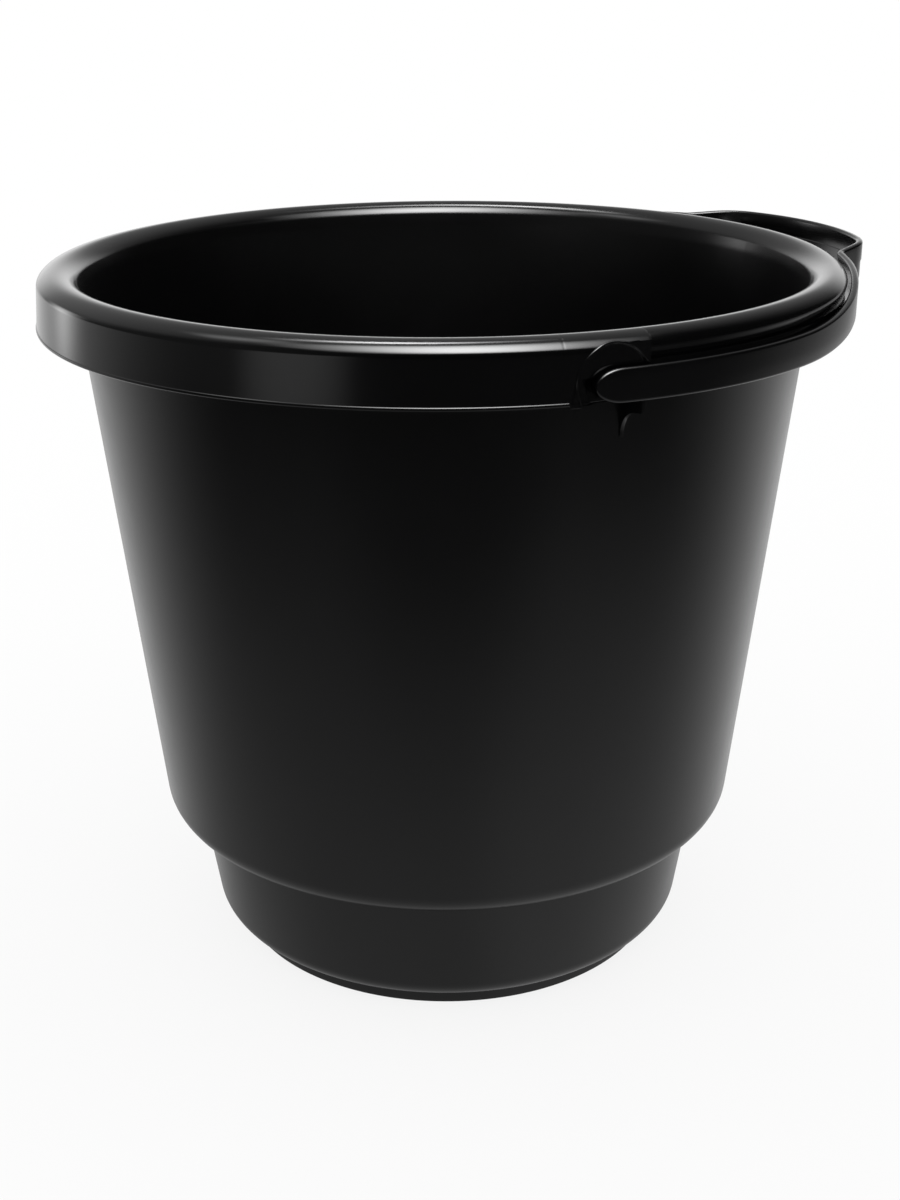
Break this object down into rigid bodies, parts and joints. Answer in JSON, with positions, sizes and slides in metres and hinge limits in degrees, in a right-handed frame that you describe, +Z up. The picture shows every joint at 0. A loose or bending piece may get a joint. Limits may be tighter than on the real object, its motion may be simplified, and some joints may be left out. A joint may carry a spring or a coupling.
{
  "type": "bucket",
  "caption": "Round tapered plastic bucket with a stepped foot, a rolled rim with a hanging skirt, and a flat strap bail with a bowed grip that folds down around one half of the rim.",
  "frame": {"origin": "centre of the standing ring, on the ground", "axes": "+Z up along the bucket's axis, +X towards the grip of the folded bail, Y along the pivot line of the bail, which lies 11.8 mm behind the origin"},
  "size_m": [0.3402, 0.3226, 0.288],
  "materials": {
    "body_plastic": "satin black polypropylene, glossier on the rim",
    "bail_plastic": "glossy black polypropylene"
  },
  "bodies": {
    "bucket": {"bucket_body": "body_plastic"},
    "bail": {"bail_handle": "bail_plastic"}
  },
  "joints": [
    {"name": "bail_hinge", "type": "hinge", "parent": "bucket", "child": "bail", "pos_m": [-0.0118, 0, 0.27135], "axis": [0, -1, 0], "range_deg": [0, 95]}
  ]
}
